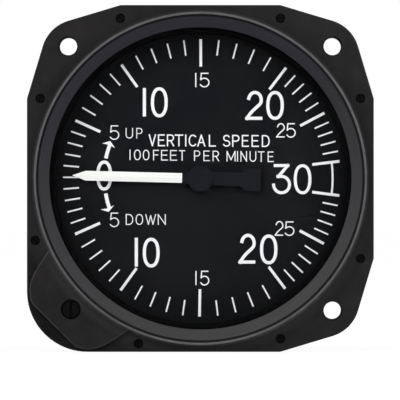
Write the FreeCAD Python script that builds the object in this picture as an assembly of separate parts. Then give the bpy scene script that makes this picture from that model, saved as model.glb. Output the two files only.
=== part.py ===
import FreeCAD, Part
import os
from math import sin, cos, tan, acos, atan2, pi, radians, degrees, sqrt, hypot

# A round vertical speed indicator for a panel, in millimetres.
# The dial faces -Y, +Z is up, and y = 0 is the flange's front face, which bears on the back of the panel.

# Spigot, flange and panel
spigot_r = 39.55
spigot_h = 5.5
spigot_chamfer = 0.3
flange_margin = 1.725
flange_t = 4.0
flat_end = 19.0
slant_deg = 16.7
corner_r = 9.0
knob_corner_r = 14.4
edge_chamfer = 0.35
hole_margin = 4.905
hole_r = 2.1
hole_chamfer = 0.3

# Window: rim, bezel ring, glass and gasket
rim_wall = 0.55
skirt_play = 0.04
groove_w = 0.35
band_w = 2.78
band_dish = 0.45
band_chamfer = 0.25
bezel_sunk = 0.1
skirt_step = 1.1
bezel_t = 2.0
glass_play = 0.15
glass_t = 2.0
glass_gasket_t = 0.5
shelf_w = 2.05

# Dial, with the rings that clamp it
ring_play = 0.2
spacer_w = 2.0
spacer_l = 3.9
spacer_chamfer = 0.3
dial_t = 1.0
dial_play = 0.1
dial_hole_r = 2.5
support_w = 3.6
support_t = 1.5

# Case
gasket_t = 0.5
case_flange_t = 2.5
case_inset = 0.5
can_wall = 2.2
can_ledge = 0.6
cover_t = 3.0
cover_chamfer = 0.6
lug_r = 3.0
lug_in = 2.5
lug_l = 6.2
boss_r = 2.4
boss_in = 1.7
boss_l = 8.0

# Small flange screws
mark_near = 19.05
mark_edge = 3.175
mark_edge_low = 1.975
mark_near_low = 14.75
mark_head_r = 0.85
mark_sink_r = 1.15
mark_shank_r = 0.6
mark_recess = 0.5
mark_head_h = 0.9

# Pad and zero adjust
pad_h = 1.6
pad_chamfer = 0.35
zero_module = 0.5
zero_pinion_teeth = 10
zero_lever_teeth = 60
zero_inset = 0.4
zero_inset_x = 0.63
zero_inset_z = 0.3
zero_head_r = 1.9
zero_sink_r = 2.4
zero_slot_w = 0.6
zero_slot_deg = 91.0
zero_shank_r = 1.2
zero_gland_r = 1.75
zero_gland_y = 0.5
zero_recess = 0.45
running = 0.05
lobe_back_off = 4.4
lobe_in_r = 8.3
lobe_wall = 2.0
lever_y = 6.0
lever_t = 1.2
lever_hub_r = 2.4
tail_len = 8.0
tail_w = 2.6
tail_pin_r = 0.6

# Movement
plate_t = 1.6
front_plate_y = 10.0
front_plate_play = 0.6
plate_gap = 16.4
gear_module = 0.4
pinion_teeth = 12
sector_teeth = 120
pressure_angle = radians(25)
backlash = 0.07
addendum = 0.9
arm_len = 5.0
arm_t = 1.0
arm_off = 2.4
pointer_shaft_r = 0.75
pinion_y = 14.0
pinion_l = 3.5
sector_t = 1.0
counterweight_gap = 1.2
counterweight_y0 = 18.2
counterweight_l = 7.9
rocker_shaft_r = 1.0
bush_r = 2.0
bush_flange_r = 2.8
bush_flange_t = 0.6
pillar_r = 2.0
pillar_in = 5.0
pillar_near_z = 21.0
window_r = 4.5
stop_r = 1.0
stop_reach = 20.2
stop_deg = 48.0
pointer_tilt = 1.4
spring_in_r = 1.6
spring_w = 0.3
spring_grow = 5.2
spring_turns = 3.5
spring_y = 20.8
spring_h = 0.8
stud_r = 0.7

# Pointer
tip_gap = 4.05
tip_l = 3.2
blade_w = 2.32
blade_t = 0.5
blade_ridge = 0.22
blade_root = 4.36
blade_over_dial = 1.6
hub_r = 3.1
tail_reach = 14.4
tail_neck = 9.7
tail_wide = 5.3

# Capsule and its bracket
cap_in = 18.0
cap_clear = 5.6
cap_depth = 3.1
cap_ripple = 0.6
cap_sheet = 0.4
cap_rim_w = 1.9
cap_front_gap = 0.9
boss_len = 2.5
web_t = 1.5
bracket_half = 6.0
neck_r = 2.0
nut_t = 1.6
post_r = 2.6
post_l = 2.0
rod_r = 0.55
pin_r = 0.5
pin_play = 0.12
tube_r = 0.9
tube_bore = 0.45
tube_out = 12.2

# Static port
port_x = 0.0
port_z = -10.0
port_tap_r = 4.3
port_depth = 10.0
port_floor = 1.5
port_neck_r = 4.0
port_across = 14.3
manifold_l = 5.0
manifold_half = 4.0
manifold_w = 18.0
restrictor_l = 9.0
restrictor_r = 1.7

# Derived sizes and places
rim_bore_r = spigot_r - rim_wall
bezel_skirt_r = rim_bore_r - skirt_play
bezel_band_r = rim_bore_r - groove_w
bezel_in_r = bezel_band_r - band_w
bezel_front = -spigot_h + bezel_sunk
bezel_back = bezel_front + bezel_t
glass_r = rim_bore_r - glass_play
glass_back = bezel_back + glass_t
shelf_y = glass_back + glass_gasket_t
gasket_in_r = bezel_in_r + 0.08
inner_bore_r = glass_r - shelf_w
spacer_out_r = inner_bore_r - ring_play
spacer_in_r = spacer_out_r - spacer_w
dial_front = shelf_y + spacer_l
dial_back = dial_front + dial_t
dial_r = spacer_out_r - dial_play
tip_r = spacer_in_r - tip_gap
shoulder_r = tip_r - tip_l
support_in_r = spacer_out_r - support_w
support_back = dial_back + support_t
can_front_bore_r = inner_bore_r + 0.1
can_bore_r = spacer_out_r - can_ledge
can_r = can_bore_r + can_wall
flange_half = spigot_r + flange_margin
hole_circle_r = spigot_r + hole_margin
hp = hole_circle_r / sqrt(2)
mark_far = flange_half - mark_edge
mark_low = flange_half - mark_edge_low
screw_marks = [(mark_near, mark_far), (-mark_near, mark_far), (mark_far, mark_near), (-mark_far, mark_near),
               (mark_far, -mark_near), (mark_near, -mark_far), (-mark_low, -mark_near_low),
               (-mark_near_low, -mark_low)]
gasket_back = flange_t + gasket_t
case_flange_back = gasket_back + case_flange_t
front_plate_r = can_bore_r - front_plate_play
front_plate_back = front_plate_y + plate_t
rear_plate_y = front_plate_back + plate_gap
rear_plate_back = rear_plate_y + plate_t
lug_pos_r = can_bore_r - lug_in
boss_pos_r = can_bore_r - boss_in
centre_dist = gear_module * (pinion_teeth + sector_teeth) / 2
counterweight_r = can_bore_r - centre_dist - counterweight_gap
rocker_z = -arm_len
rocker_x = sqrt(centre_dist ** 2 - arm_len ** 2)
to_pointer = atan2(-rocker_z, -rocker_x)
sector_y = pinion_y + (pinion_l - sector_t) / 2
zero_pos = hp - zero_inset
zero_dist = zero_module * (zero_pinion_teeth + zero_lever_teeth) / 2
zero_x = zero_inset_x - hp
zero_z = zero_inset_z - hp
zero_dir = atan2(zero_z, zero_x)
pivot_x = zero_x - zero_dist * cos(zero_dir)
pivot_z = zero_z - zero_dist * sin(zero_dir)
lobe_dist = zero_pos * sqrt(2) - lobe_back_off
lobe_pos = lobe_dist / sqrt(2)
lobe_out_r = lobe_in_r + lobe_wall
lobe_back = front_plate_y + lobe_wall
cap_x = -(can_bore_r - cap_in)
cap_half = cap_depth + cap_sheet
cap_r = sqrt((can_bore_r - cap_clear) ** 2 - (abs(cap_x) + cap_half) ** 2)
cap_y = front_plate_back + cap_front_gap + cap_r
web_x1 = cap_x - cap_half - boss_len
web_x0 = web_x1 - web_t
foot_x = cap_x - 15.4
plate_left = cap_x + cap_half + 5.0
pillar_far = can_bore_r - pillar_in
pillars = [(plate_left + 4.5, pillar_near_z), (plate_left + 4.5, -pillar_near_z),
           (pillar_far * cos(radians(50)), pillar_far * sin(radians(50))),
           (pillar_far * cos(radians(-58)), pillar_far * sin(radians(-58)))]
can_end = cap_y + cap_r + 2.5
cover_front = can_end + gasket_t
cover_back = cover_front + cover_t
manifold_front = cover_front - manifold_l
d45 = 1 / sqrt(2)


def V(x, y, z):
    return FreeCAD.Vector(x, y, z)


def cyl(r, y0, y1, x=0.0, z=0.0):
    return Part.makeCylinder(r, y1 - y0, V(x, y0, z), V(0, 1, 0))


def cyl_x(r, x0, x1, y, z):
    return Part.makeCylinder(r, x1 - x0, V(x0, y, z), V(1, 0, 0))


def ring(r_in, r_out, y0, y1, x=0.0, z=0.0):
    return cyl(r_out, y0, y1, x, z).cut(cyl(r_in, y0 - 1, y1 + 1, x, z))


def box(x0, x1, y0, y1, z0, z1):
    return Part.makeBox(x1 - x0, y1 - y0, z1 - z0, V(x0, y0, z0))


def prism(points, y0, y1):
    loop = [V(x, y0, z) for x, z in points]
    face = Part.Face(Part.makePolygon(loop + [loop[0]]))
    return face.extrude(V(0, y1 - y0, 0))


def polar(r, a, x=0.0, z=0.0):
    return (x + r * cos(a), z + r * sin(a))


def fuse(shapes):
    out = shapes[0]
    for s in shapes[1:]:
        out = out.fuse(s)
    return out.removeSplitter()


def cut(shape, tools):
    for t in tools:
        shape = shape.cut(t)
    return shape


def chamfer_flat_edges(shape, y, size, keep):
    """Chamfers the edges that lie wholly in the plane at y and that keep() accepts."""
    found = []
    for e in shape.Edges:
        b = e.BoundBox
        if abs(b.YMin - y) < 1e-4 and abs(b.YMax - y) < 1e-4 and keep(e):
            found.append(e)
    return shape.makeChamfer(size, found)


def screw(x, z, y_seat, towards, head_r, head_h, shank_r, shank_l, turn=0.0):
    """A slotted screw whose head sits at y_seat; towards is -1 when the head faces the front."""
    a, b = sorted((y_seat, y_seat + towards * head_h))
    s = cyl(head_r, a, b, x, z)
    c, d = sorted((y_seat, y_seat - towards * shank_l))
    s = s.fuse(cyl(shank_r, c, d, x, z))
    slot_w = head_r * 0.32
    slot_d = head_h * 0.45
    e, f = sorted((y_seat + towards * head_h, y_seat + towards * (head_h - slot_d)))
    slot = box(-head_r * 2, head_r * 2, e, f, -slot_w / 2, slot_w / 2)
    slot.rotate(V(0, 0, 0), V(0, 1, 0), turn)
    slot.translate(V(x, 0, z))
    return s.cut(slot)


def outline(inset, y0, y1):
    """The flange's outline: a square with slanted corners, and one round corner for the zero screw."""
    h = flange_half - inset
    a = radians(slant_deg)
    reach = (h - flat_end) / (cos(a) + sin(a))
    px = flat_end + reach * cos(a)
    half = (pi - (pi / 2 - 2 * a)) / 2
    t = corner_r / tan(half)
    s = reach - t
    tx = flat_end + s * cos(a)
    tz = h - s * sin(a)
    apex = px * sqrt(2) - corner_r / sin(half) + corner_r
    m = apex * d45
    k = knob_corner_r
    kc = h - k
    ka = kc + k * d45

    def P(x, z):
        return V(x, y0, z)

    edges = []

    def line(p, q):
        edges.append(Part.makeLine(p, q))

    def arc(p, q, r):
        edges.append(Part.Arc(p, q, r).toShape())

    # upper right, going clockwise from the top flat
    line(P(-flat_end, h), P(flat_end, h))
    line(P(flat_end, h), P(tx, tz))
    arc(P(tx, tz), P(m, m), P(tz, tx))
    line(P(tz, tx), P(h, flat_end))
    line(P(h, flat_end), P(h, -flat_end))
    line(P(h, -flat_end), P(tz, -tx))
    arc(P(tz, -tx), P(m, -m), P(tx, -tz))
    line(P(tx, -tz), P(flat_end, -h))
    line(P(flat_end, -h), P(-kc, -h))
    arc(P(-kc, -h), P(-ka, -ka), P(-h, -kc))
    line(P(-h, -kc), P(-h, flat_end))
    line(P(-h, flat_end), P(-tz, tx))
    arc(P(-tz, tx), P(-m, m), P(-tx, tz))
    line(P(-tx, tz), P(-flat_end, h))
    face = Part.Face(Part.Wire(edges))
    return face.extrude(V(0, y1 - y0, 0))


def lobed(main_r, lobe_r, y0, y1):
    """A round disc with a round lobe at the lower left."""
    c = lobe_pos
    return cyl(main_r, y0, y1).fuse(cyl(lobe_r, y0, y1, -c, -c)).removeSplitter()


def pad_solid():
    """The raised pad around the zero adjust screw, the same on both sides of the diagonal."""
    offsets = [(-5.05, 14.05), (-7.05, 10.95), (-8.65, 8.25), (-9.5, 5.65), (-9.6, 3.45), (-8.85, 1.05)]
    side = [(dx - zero_pos, dz - zero_pos) for dx, dz in offsets]
    y0 = -pad_h
    left = Part.BSplineCurve()
    left.interpolate([V(x, y0, z) for x, z in side])
    right = Part.BSplineCurve()
    right.interpolate([V(z, y0, x) for x, z in reversed(side)])
    a = V(side[0][0], y0, side[0][1])
    b = V(side[-1][0], y0, side[-1][1])
    c = V(side[-1][1], y0, side[-1][0])
    d = V(side[0][1], y0, side[0][0])
    inner = V(8.0 - zero_pos, y0, 8.0 - zero_pos)
    wire = Part.Wire([left.toShape(), Part.makeLine(b, c), right.toShape(),
                      Part.makeLine(d, inner), Part.makeLine(inner, a)])
    solid = Part.Face(wire).extrude(V(0, pad_h + 0.5, 0))

    def outer(e):
        m = e.CenterOfMass
        return hypot(m.x, m.z) > spigot_r

    return chamfer_flat_edges(solid, y0, pad_chamfer, outer)


def inv(a):
    return tan(a) - a


def tooth(m, n, centre, ded=1.25, steps=4):
    """Polar points of one involute tooth, in order of rising angle."""
    rp = m * n / 2
    rb = rp * cos(pressure_angle)
    ra = rp + addendum * m
    rf = rp - ded * m
    half = pi / (2 * n) - backlash / (2 * rp) + inv(pressure_angle)
    low = max(rb, rf)
    radii = [low + (ra - low) * i / steps for i in range(steps + 1)]
    if rf < rb:
        radii = [rf] + radii
    flank = []
    for r in radii:
        a = half if r <= rb else half - inv(acos(rb / r))
        flank.append((r, a))
    up = [(r, centre - a) for r, a in flank]
    down = [(r, centre + a) for r, a in reversed(flank)]
    return up + down


def gear(m, n, first, x, z, y0, y1, bore):
    pts = []
    for k in range(n):
        pts += [polar(r, a, x, z) for r, a in tooth(m, n, first + 2 * pi * k / n)]
    return prism(pts, y0, y1).cut(cyl(bore, y0 - 1, y1 + 1, x, z))


def toothed_sector(m, n, centre, side_teeth, x, z, y0, y1, hub_r, hub_y0, hub_y1, bore, windows):
    """A sector gear on a hub: 2 * side_teeth + 1 teeth about the centre angle."""
    pitch = 2 * pi / n
    pts = []
    for k in range(-side_teeth, side_teeth + 1):
        pts += [polar(r, a, x, z) for r, a in tooth(m, n, centre + k * pitch)]
    pts.append(polar(hub_r * 0.9, centre + radians(75), x, z))
    pts.append(polar(hub_r * 0.9, centre - radians(75), x, z))
    s = prism(pts, y0, y1).fuse(cyl(hub_r, hub_y0, hub_y1, x, z))
    for w in windows:
        pw = [polar(r, centre + radians(a), x, z) for r, a in w]
        s = s.cut(prism(pw, y0 - 1, y1 + 1))
    return s.cut(cyl(bore, hub_y0 - 1, hub_y1 + 1, x, z)).removeSplitter()


parts = {}

# Mounting flange with its spigot and pad
flange = chamfer_flat_edges(outline(0, 0, flange_t), 0, edge_chamfer, lambda e: True)
spigot = cyl(spigot_r, -spigot_h, 0.5)
spigot = chamfer_flat_edges(spigot, -spigot_h, spigot_chamfer, lambda e: True)
flange = fuse([flange, spigot, pad_solid()])
flange = flange.cut(cyl(rim_bore_r, -spigot_h - 1, shelf_y))
flange = flange.cut(cyl(inner_bore_r, shelf_y - 1, flange_t + 1))
mount_holes = [(hp, hp), (-hp, hp), (hp, -hp)]
for x, z in mount_holes:
    flange = flange.cut(cyl(hole_r, -1, flange_t + 1, x, z))
    flange = flange.cut(Part.makeCone(hole_r + hole_chamfer, hole_r, hole_chamfer, V(x, 0, z), V(0, 1, 0)))
for x, z in screw_marks:
    flange = flange.cut(cyl(mark_sink_r, -3, mark_recess + mark_head_h, x, z))
    flange = flange.cut(cyl(mark_shank_r + running, 0, flange_t + 1, x, z))
flange = flange.cut(cyl(zero_sink_r, -pad_h - 1, zero_gland_y, zero_x, zero_z))
flange = flange.cut(cyl(zero_gland_r, 0, flange_t + 1, zero_x, zero_z))
parts["mounting_flange"] = flange

parts["flange_screws"] = Part.makeCompound([
    screw(x, z, mark_recess + mark_head_h, -1, mark_head_r, mark_head_h, mark_shank_r,
          case_flange_back - mark_recess - mark_head_h - 0.3, turn=37 * i)
    for i, (x, z) in enumerate(screw_marks)])

# Window
skirt_front = bezel_front + skirt_step
band_pts = [(bezel_in_r, bezel_back), (bezel_in_r, bezel_front + band_dish),
            (bezel_band_r - band_chamfer, bezel_front), (bezel_band_r, bezel_front + band_chamfer),
            (bezel_band_r, skirt_front), (bezel_skirt_r, skirt_front), (bezel_skirt_r, bezel_back)]
band_loop = [V(x, y, 0) for x, y in band_pts + band_pts[:1]]
parts["bezel_ring"] = Part.Face(Part.makePolygon(band_loop)).revolve(V(0, 0, 0), V(0, 1, 0), 360)
parts["window_glass"] = cyl(glass_r, bezel_back, glass_back)
parts["glass_gasket"] = ring(gasket_in_r, glass_r, glass_back, shelf_y)

# Dial and the two rings that clamp it
spacer = ring(spacer_in_r, spacer_out_r, shelf_y, dial_front)
spacer = chamfer_flat_edges(spacer, shelf_y, spacer_chamfer, lambda e: e.BoundBox.XMax < spacer_out_r - spacer_w / 2)
parts["dial_spacer"] = spacer
parts["dial_plate"] = ring(dial_hole_r, dial_r, dial_front, dial_back)
parts["dial_support_ring"] = ring(support_in_r, spacer_out_r, dial_back, support_back)

# Pointer: white blade, black hub and tail
blade_y1 = dial_front - blade_over_dial
blade_y0 = blade_y1 - blade_t
bh = blade_w / 2
blade_pts = [(-tip_r, 0), (-shoulder_r, bh), (-blade_root, bh), (-blade_root, -bh), (-shoulder_r, -bh)]
blade = prism(blade_pts, blade_y0, blade_y1)
ridge_pts = [V(-tip_r, blade_y0, -bh), V(-tip_r, blade_y0 - blade_ridge, 0), V(-tip_r, blade_y0, bh)]
ridge = Part.Face(Part.makePolygon(ridge_pts + ridge_pts[:1])).extrude(V(tip_r - blade_root, 0, 0))
ridge = ridge.common(prism(blade_pts, blade_y0 - 1, blade_y1))
blade = blade.fuse(ridge).removeSplitter()
th = tail_wide / 2
tn = 1.6
tail_upper = [(-blade_root, bh), (-1.5, tn), (tail_neck, tn), (tail_neck + 0.9, th), (tail_reach, th)]
tail_pts = tail_upper + [(x, -z) for x, z in reversed(tail_upper)]
balance = box(tail_neck + 0.9, tail_reach, blade_y0, dial_front - 0.5, -th, th)
hub = cyl(hub_r, blade_y0 - 0.4, dial_front - 0.8)
tail = fuse([prism(tail_pts, blade_y0, blade_y1), balance, hub])
tail = tail.cut(cyl(pointer_shaft_r, blade_y0 - 0.1, dial_front))
for s in (blade, tail):
    s.rotate(V(0, 0, 0), V(0, 1, 0), pointer_tilt)
parts["pointer_blade"] = blade
parts["pointer_tail"] = tail

# Pointer shaft, pinion and hairspring
collar_gap = 0.1
fc0 = front_plate_back + bush_flange_t + collar_gap
rc1 = rear_plate_y - bush_flange_t - collar_gap
shaft = fuse([cyl(pointer_shaft_r, blade_y0 - 0.1, rear_plate_back + 0.6), cyl(1.2, fc0, fc0 + 1.2), cyl(1.2, rc1 - 1.2, rc1)])
parts["pointer_shaft"] = shaft
to_rocker = to_pointer + pi
parts["pinion"] = gear(gear_module, pinion_teeth, to_rocker + pi / pinion_teeth, 0, 0,
                       pinion_y, pinion_y + pinion_l, pointer_shaft_r)
parts["hairspring_collet"] = ring(pointer_shaft_r, spring_in_r, spring_y - 0.4, spring_y + spring_h + 0.4)
turns = spring_turns
steps = int(turns * 22)
spring_back = spring_y + spring_h
inner_edge = []
outer_edge = []
for i in range(steps + 1):
    a = 2 * pi * turns * i / steps
    r = spring_in_r + spring_grow * i / steps
    inner_edge.append(polar(r, a))
    outer_edge.append(polar(r + spring_w, a))
parts["hairspring"] = prism(inner_edge + outer_edge[::-1], spring_y, spring_back)
stud_x, stud_z = polar(spring_in_r + spring_grow + spring_w / 2, 2 * pi * turns)
stud = cyl(stud_r, spring_y - 0.8, rear_plate_y, stud_x, stud_z)
stud = stud.cut(prism(inner_edge[-8:] + outer_edge[-8:][::-1], spring_y, spring_back))
stud = stud.cut(box(stud_x - 1, stud_x + 1, spring_y, spring_back, stud_z - 1.0, stud_z))
parts["hairspring_stud"] = stud

# Plates, pillars and bushes
front_plate = cyl(front_plate_r, front_plate_y, front_plate_back)
plate_holes = [(0, 0, bush_r), (rocker_x, rocker_z, bush_r)]
rear_plate = cyl(can_bore_r - 1.5, rear_plate_y, rear_plate_back)
rear_plate = rear_plate.common(box(plate_left, can_r, rear_plate_y, rear_plate_back, -30, 29))
for x, z, r in plate_holes:
    front_plate = front_plate.cut(cyl(r, front_plate_y - 1, front_plate_back + 1, x, z))
    rear_plate = rear_plate.cut(cyl(r, rear_plate_y - 1, rear_plate_back + 1, x, z))
for x, z in pillars:
    front_plate = front_plate.cut(cyl(0.9, front_plate_y - 1, front_plate_back + 1, x, z))
    rear_plate = rear_plate.cut(cyl(0.9, rear_plate_y - 1, rear_plate_back + 1, x, z))
lug_angles = [90, 210, 330]
lugs = [polar(lug_pos_r, radians(a)) for a in lug_angles]
for x, z in lugs:
    front_plate = front_plate.cut(cyl(1.0, front_plate_y - 1, front_plate_back + 1, x, z))
bracket_holes = [(cap_x - 12.5, 4.0), (cap_x - 12.5, -4.0)]
for x, z in bracket_holes:
    front_plate = front_plate.cut(cyl(0.8, front_plate_y - 1, front_plate_back + 1, x, z))
slot_mid = radians(45)
slot_half = tail_pin_r + 0.35
arc_in = [polar(tail_len - slot_half, slot_mid + radians(a), pivot_x, pivot_z) for a in range(-18, 19, 6)]
arc_out = [polar(tail_len + slot_half, slot_mid + radians(a), pivot_x, pivot_z) for a in range(18, -19, -6)]
front_plate = front_plate.cut(prism(arc_in + arc_out, front_plate_y - 1, front_plate_back + 1))
for a in (75, 125, 283):
    x, z = polar(22, radians(a))
    front_plate = front_plate.cut(cyl(window_r, front_plate_y - 1, front_plate_back + 1, x, z))
parts["front_plate"] = front_plate
parts["rear_plate"] = rear_plate
pillar_solids = []
screw_solids = []
for i, (x, z) in enumerate(pillars):
    p = cyl(pillar_r, front_plate_back, rear_plate_y, x, z)
    p = p.cut(cyl(0.85, front_plate_back - 1, front_plate_back + 4, x, z))
    p = p.cut(cyl(0.85, rear_plate_y - 4, rear_plate_y + 1, x, z))
    pillar_solids.append(p)
    screw_solids.append(screw(x, z, front_plate_y, -1, 1.7, 1.0, 0.8, plate_t + 3.5, turn=25 * i))
    screw_solids.append(screw(x, z, rear_plate_back, 1, 1.7, 1.0, 0.8, plate_t + 3.5, turn=40 * i))
parts["pillars"] = Part.makeCompound(pillar_solids)
parts["pillar_screws"] = Part.makeCompound(screw_solids)
parts["movement_screws"] = Part.makeCompound([
    screw(x, z, front_plate_y, -1, 1.8, 1.1, 0.9, plate_t + 5, turn=30) for x, z in lugs])


def bush(x, z, r, plate_y, front):
    """A flanged bush in a plate; the flange is on the side of the movement's middle."""
    if front:
        body = cyl(bush_r, plate_y - 0.2, plate_y + plate_t, x, z)
        lip = cyl(bush_flange_r, plate_y + plate_t, plate_y + plate_t + bush_flange_t, x, z)
    else:
        body = cyl(bush_r, plate_y, plate_y + plate_t + 0.2, x, z)
        lip = cyl(bush_flange_r, plate_y - bush_flange_t, plate_y, x, z)
    return body.fuse(lip).cut(cyl(r + running, plate_y - 5, plate_y + 5, x, z))


parts["pointer_bushes"] = Part.makeCompound([
    bush(0, 0, pointer_shaft_r, front_plate_y, True), bush(0, 0, pointer_shaft_r, rear_plate_y, False)])
parts["rocker_bushes"] = Part.makeCompound([
    bush(rocker_x, rocker_z, rocker_shaft_r, front_plate_y, True),
    bush(rocker_x, rocker_z, rocker_shaft_r, rear_plate_y, False)])

# Rocking shaft with its sector gear, counterweight and arm
arm_y0 = rear_plate_back + arm_off
arm_y1 = arm_y0 + arm_t
link_y = arm_y1 + 0.5 + rod_r
parts["rocking_shaft"] = fuse([cyl(rocker_shaft_r, front_plate_y, arm_y1 + 0.8, rocker_x, rocker_z),
                               cyl(1.6, fc0, fc0 + 1.0, rocker_x, rocker_z),
                               cyl(1.6, rc1 - 1.0, rc1, rocker_x, rocker_z)])
windows = [[(8, 6), (20.6, 3), (20.6, 20), (10, 18)], [(8, -6), (10, -18), (20.6, -20), (20.6, -3)]]
parts["sector_gear"] = toothed_sector(gear_module, sector_teeth, to_pointer, 8, rocker_x, rocker_z,
                                      sector_y, sector_y + sector_t, 3.0, pinion_y, pinion_y + pinion_l,
                                      rocker_shaft_r, windows)
cw_pts = [polar(counterweight_r, to_pointer + pi + radians(a), rocker_x, rocker_z) for a in range(-66, 67, 12)]
cw_pts += [polar(1.8, to_pointer + pi + radians(a), rocker_x, rocker_z) for a in (100, 180, 260)]
counterweight_back = counterweight_y0 + counterweight_l
cw = prism(cw_pts, counterweight_y0, counterweight_back)
cw = cw.fuse(cyl(2.4, counterweight_y0, counterweight_back, rocker_x, rocker_z))
parts["counterweight"] = cw.cut(cyl(rocker_shaft_r, 10, 30, rocker_x, rocker_z)).removeSplitter()
fork_half = pin_r + pin_play
arm = box(rocker_x - 1.7, rocker_x + 1.7, arm_y0, arm_y1, rocker_z, 1.7)
arm = arm.fuse(cyl(2.6, arm_y0 - 0.6, arm_y1, rocker_x, rocker_z))
arm = arm.cut(cyl(rocker_shaft_r, arm_y0 - 2, arm_y1 + 2, rocker_x, rocker_z))
arm = arm.cut(box(rocker_x - fork_half, rocker_x + fork_half, arm_y0 - 1, arm_y1 + 1, -1.2, 3))
parts["rocker_arm"] = arm.removeSplitter()
stop_angle = radians(stop_deg)
stops = []
for side in (-1, 1):
    x, z = polar(stop_reach, to_pointer + side * stop_angle, rocker_x, rocker_z)
    stops.append(cyl(stop_r, front_plate_back, sector_y + sector_t + 0.6, x, z))
parts["stop_pins"] = Part.makeCompound(stops)

# Capsule: two corrugated halves on one axis along X
rim_in = cap_r - cap_rim_w
first_r = rim_in - 2.6
ripple_step = (first_r - post_r) / 9
prof = [(cap_r, 0.0), (rim_in, 0.0)]
prof += [(first_r - k * ripple_step, cap_depth - (cap_ripple if k % 2 else 0.0)) for k in range(9)]
prof.append((1.0, cap_depth))


def half_capsule(side):
    """side -1 is the fixed half, towards -X; side 1 is the moving half."""
    near = [V(cap_x + side * h, cap_y + r, 0) for r, h in prof]
    far = [V(cap_x + side * (h + cap_sheet), cap_y + r, 0) for r, h in reversed(prof)]
    loop = near + far
    face = Part.Face(Part.makePolygon(loop + [loop[0]]))
    return face.revolve(V(cap_x, cap_y, 0), V(1, 0, 0), 360)


fixed_half = half_capsule(-1)
moving_half = half_capsule(1)
parts["capsule_fixed_half"] = fixed_half
parts["capsule_moving_half"] = moving_half
face_l = cap_x - cap_half
face_r = cap_x + cap_half
neck_end = web_x0 - nut_t - 1.0
boss = fuse([cyl_x(3.2, web_x1, face_l, cap_y, 0), cyl_x(neck_r, neck_end, web_x1, cap_y, 0)])
parts["capsule_boss"] = boss.cut(cyl_x(tube_bore, neck_end - 1, face_l + 1, cap_y, 0))
nut_pts = [polar(3.6, radians(60 * k)) for k in range(6)]
nut = Part.Face(Part.makePolygon([V(web_x0 - nut_t, cap_y + a, b) for a, b in nut_pts + nut_pts[:1]]))
nut = nut.extrude(V(nut_t, 0, 0)).cut(cyl_x(neck_r, neck_end - 1, web_x1, cap_y, 0))
parts["capsule_nut"] = nut
post_end = face_r + post_l
post = cyl_x(post_r, face_r, post_end, cap_y, 0)
parts["capsule_post"] = post
rod = fuse([cyl_x(rod_r, post_end, rocker_x - 0.9, link_y, 0), cyl(1.3, link_y - rod_r, link_y + rod_r, rocker_x, 0)])
parts["link_rod"] = rod
parts["link_pin"] = cyl(pin_r, arm_y0 - 0.3, link_y - rod_r, rocker_x, 0)

bh2 = bracket_half
web = box(web_x0, web_x1, front_plate_back, cap_y + 5, -bh2, bh2)
foot = box(foot_x, web_x0, front_plate_back, front_plate_back + web_t, -bh2, bh2)
bracket = fuse([web, foot]).cut(cyl_x(neck_r + running, web_x0 - 1, web_x1 + 1, cap_y, 0))
bracket = bracket.cut(box(web_x0 - 1, web_x1 + 1, front_plate_back + 5.4, cap_y - 7, -2.5, 2.5))
for x, z in bracket_holes:
    bracket = bracket.cut(cyl(0.75, 0, 20, x, z))
parts["capsule_bracket"] = bracket
parts["bracket_screws"] = Part.makeCompound([
    screw(x, z, front_plate_y, -1, 1.5, 0.9, 0.7, plate_t + 1.5, turn=60) for x, z in bracket_holes])

# Static port, manifold, tube and restrictor
man_y = (manifold_front + cover_front) / 2
tube_x = cap_x - tube_out
man_x0 = port_x - manifold_half
man_x1 = man_x0 + manifold_w
restrictor_x = man_x1 - manifold_half
tube_path = [V(neck_end, cap_y, 0), V(tube_x, cap_y, 0), V(tube_x, cap_y, port_z),
             V(tube_x, man_y, port_z), V(man_x0, man_y, port_z)]


def along(path, r):
    out = []
    for a, b in zip(path, path[1:]):
        out.append(Part.makeCylinder(r, (b - a).Length, a, b - a))
    for p in path[1:-1]:
        out.append(Part.makeSphere(r, p))
    return fuse(out)


parts["static_tube"] = along(tube_path, tube_r).cut(along(tube_path, tube_bore))
manifold = box(man_x0, man_x1, manifold_front, cover_front, port_z - manifold_half, port_z + manifold_half)
manifold = manifold.cut(cyl(1.2, man_y - 0.6, cover_front + 1, port_x, port_z))
manifold = manifold.cut(cyl_x(tube_bore, man_x0 - 1, restrictor_x, man_y, port_z))
manifold = manifold.cut(cyl(0.6, manifold_front - 1, man_y, restrictor_x, port_z))
parts["manifold_block"] = manifold
res_front = manifold_front - restrictor_l
restrictor = fuse([cyl(restrictor_r, res_front, manifold_front - 1.5, restrictor_x, port_z),
                   cyl(restrictor_r + 0.9, manifold_front - 1.5, manifold_front, restrictor_x, port_z)])
parts["restrictor"] = restrictor.cut(cyl(0.3, res_front - 1, manifold_front + 1, restrictor_x, port_z))
hex_r = port_across / 2 / cos(pi / 6)
hexagon = prism([polar(hex_r, radians(60 * k + 30), port_x, port_z) for k in range(6)],
                cover_back, cover_back + port_floor + port_depth)
hexagon = hexagon.common(Part.makeCone(hex_r + (port_floor + port_depth) * 1.6, hex_r - 0.6, port_floor + port_depth,
                                       V(port_x, cover_back, port_z), V(0, 1, 0)))
port = fuse([hexagon, cyl(port_neck_r, cover_front, cover_back, port_x, port_z)])
port_mouth = cover_back + port_floor + port_depth
port = port.cut(cyl(port_tap_r, port_mouth - port_depth, port_mouth + 1, port_x, port_z))
parts["static_port_fitting"] = port.cut(cyl(1.2, cover_front - 1, port_mouth, port_x, port_z))

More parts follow.
